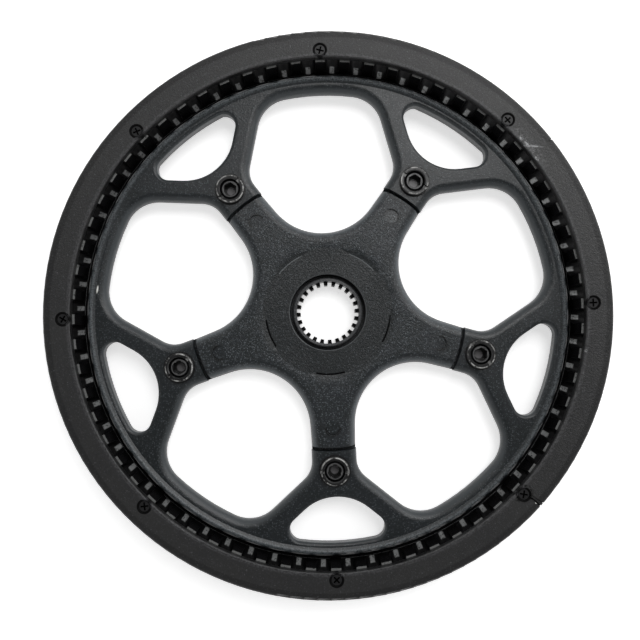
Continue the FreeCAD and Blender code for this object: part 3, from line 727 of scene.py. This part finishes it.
dress(screw_steel(), *[name for name in nodes if name.startswith("guard_screw_")])

# %% [markdown]
# ## Turned sleeve
# The sleeve is grey steel from a lathe, and its splines are painted black, partly for old grease and partly as
# painted shade. A lathe leaves fine rings. An anisotropic shader could stretch the highlights as such rings do.
# Here a wave that runs outward from the axis is the relief, because then the rings can be seen one by one from
# close by.

# %% Turned sleeve
SPLINE_R = 13.0
RING_WAVE = 22.0


def turned_steel():
    """Grey steel with turning marks about the axis, and greased splines painted black, partly as painted shade."""
    finish = Finish("sleeve_turned_steel")
    rings = finish.math("SINE", finish.math("MULTIPLY", finish.radius, RING_WAVE))
    speckle = finish.grain(0.6, detail=3.0, rough=0.7)
    paint = finish.tint(finish.between(speckle, 0.4, 0.7), colour(52, 53, 55), colour(84, 85, 87))
    # painted shade and old grease: the splines are painted nearly black
    grease_and_shade = finish.between(finish.radius, SPLINE_R, SPLINE_R - 0.15)
    paint = finish.tint(grease_and_shade, paint, colour(9, 9, 9))
    finish.dull(grease_and_shade)
    rough = finish.ranged(finish.grain(1.4), 0.3, 0.46)
    return finish.use(paint, rough, rings, depth=0.02)


dress(turned_steel(), "splined_sleeve")

# %% [markdown]
# ## White table
# The sprocket lies on a plain white sheet. More lamps could make the sheet white, but they would fade the black
# paint too. So the sheet gives a little light of its own, and only to the camera and to what mirrors it: no other
# surface is lit by it, and the shadow stays.

# %% White table
FLOOR_SIZE = 3.0
FLOOR_GAP = 0.05 * MM
FLOOR_LIFT = 0.55
FLOOR_WHITE = 0.93


def white_table():
    """A white material that is a little brighter to the camera and in reflections."""
    material = bpy.data.materials.new("white_table")
    material.use_nodes = True
    tree = material.node_tree
    shader = tree.nodes["Principled BSDF"]
    shader.inputs["Base Color"].default_value = (FLOOR_WHITE, FLOOR_WHITE, FLOOR_WHITE, 1)
    shader.inputs["Roughness"].default_value = 0.8
    shader.inputs["Specular IOR Level"].default_value = 0.0
    shader.inputs["Emission Color"].default_value = (FLOOR_LIFT, FLOOR_LIFT, FLOOR_LIFT, 1)
    path = tree.nodes.new("ShaderNodeLightPath")
    seen = path.outputs["Is Camera Ray"]
    for kind in ("Is Glossy Ray", "Is Transmission Ray"):
        either = tree.nodes.new("ShaderNodeMath")
        either.operation = "MAXIMUM"
        tree.links.new(seen, either.inputs[0])
        tree.links.new(path.outputs[kind], either.inputs[1])
        seen = either.outputs["Value"]
    tree.links.new(seen, shader.inputs["Emission Strength"])
    return material


def pale_floor():
    """A large white sheet, a hair below the back flange so that the two faces don't share a plane."""
    mesh = bpy.data.meshes.new("floor")
    shape = bmesh.new()
    bmesh.ops.create_grid(shape, x_segments=1, y_segments=1, size=FLOOR_SIZE)
    shape.to_mesh(mesh)
    shape.free()
    mesh.materials.append(white_table())
    floor = bpy.data.objects.new("floor", mesh)
    floor.location.z = -FLOOR_GAP
    bpy.context.scene.collection.objects.link(floor)
    print("floor of", 2 * FLOOR_SIZE, "by", 2 * FLOOR_SIZE, "m")


pale_floor()

# %% [markdown]
# ## Room light
# The room is bright at the sides and dark overhead, where the camera is. A picture of a room could serve as
# surroundings. A plain gradient is enough, because satin paint blurs what it mirrors: bright at the horizon, dark
# at the top, and a little darker on the near side.

# %% Room light
HORIZON = 1.3
ZENITH = 0.12
NEAR_SHADE = 0.85


def room_light():
    """Plain surroundings, white at the horizon and darker overhead."""
    world = bpy.data.worlds.new("room")
    bpy.context.scene.world = world
    world.use_nodes = True
    tree = world.node_tree
    direction = tree.nodes.new("ShaderNodeTexCoord").outputs["Generated"]
    parts = tree.nodes.new("ShaderNodeSeparateXYZ")
    tree.links.new(direction, parts.inputs["Vector"])
    level = tree.nodes.new("ShaderNodeMapRange")
    tree.links.new(parts.outputs["Z"], level.inputs["Value"])
    level.inputs["To Min"].default_value = HORIZON
    level.inputs["To Max"].default_value = ZENITH
    shade = tree.nodes.new("ShaderNodeMapRange")
    tree.links.new(parts.outputs["Y"], shade.inputs["Value"])
    shade.inputs["From Min"].default_value = -1.0
    shade.inputs["To Min"].default_value = NEAR_SHADE
    strength = tree.nodes.new("ShaderNodeMath")
    strength.operation = "MULTIPLY"
    tree.links.new(level.outputs["Result"], strength.inputs[0])
    tree.links.new(shade.outputs["Result"], strength.inputs[1])
    tree.links.new(strength.outputs["Value"], tree.nodes["Background"].inputs["Strength"])
    tree.nodes["Background"].inputs["Color"].default_value = (1, 1, 1, 1)
    print("room strength", HORIZON, "at the horizon and", ZENITH, "overhead")


room_light()

# %% [markdown]
# ## Lamps
# A large ceiling lamp on the far side, a little to the right, is mirrored in the far part of the guard and makes
# it greyer than the rest. The same lamp lights the near half of the shoulder's bead, whose inner flank faces it. A
# window low on the right gives edges their sheen. Small lamps would do for brightness, but they leave hard
# highlights, so both are large area lamps.

# %% Lamps


def soft_box(name, place, width, depth, power):
    """A rectangular lamp that faces the sprocket, with its place and size in metres and its power in watts."""
    light = bpy.data.lights.new(name, "AREA")
    light.shape = "RECTANGLE"
    light.size = width
    light.size_y = depth
    light.energy = power
    lamp = bpy.data.objects.new(name, light)
    lamp.location = place
    lamp.rotation_euler = (-Vector(place)).to_track_quat("-Z", "Y").to_euler()
    bpy.context.scene.collection.objects.link(lamp)


soft_box("ceiling_lamp", place=(0.20, 0.46, 0.80), width=0.5, depth=0.5, power=3.5)
soft_box("right_window", place=(0.70, 0.44, 0.42), width=0.7, depth=0.5, power=2.0)
bpy.context.scene.view_settings.view_transform = "Standard"

# %% [markdown]
# ## Camera
# The photograph looks down from close by, so that what lies deeper is drawn smaller. The distance comes from that:
# the circle of the bolts is drawn smaller against the guard than it measures. A camera without perspective would
# be simpler, but the bolts would then lie too far out. The camera leans about two degrees, because the circles'
# centres don't fall on one point.

# %% Camera
CAMERA_DISTANCE = 260.0
LEAN = math.radians(2.25)
SENSOR = 36.0
LENS = 36.78
AIM = (-3.25, -3.64)


def camera_above():
    """A camera over the guard that leans towards the near side and looks a little beside the centre."""
    data = bpy.data.cameras.new("camera")
    data.sensor_width = SENSOR
    data.lens = LENS
    data.clip_start = 0.01
    data.clip_end = 50
    camera = bpy.data.objects.new("camera", data)
    bpy.context.scene.collection.objects.link(camera)
    aim_x, aim_y = AIM
    camera.location = (aim_x * MM, (aim_y - CAMERA_DISTANCE * math.sin(LEAN)) * MM,
                       (GUARD_TOP + CAMERA_DISTANCE * math.cos(LEAN)) * MM)
    camera.rotation_euler = (LEAN, 0, 0)
    bpy.context.scene.camera = camera
    print("camera at", [round(part / MM) for part in camera.location], "mm")


camera_above()

# %% [markdown]

# %% [markdown]
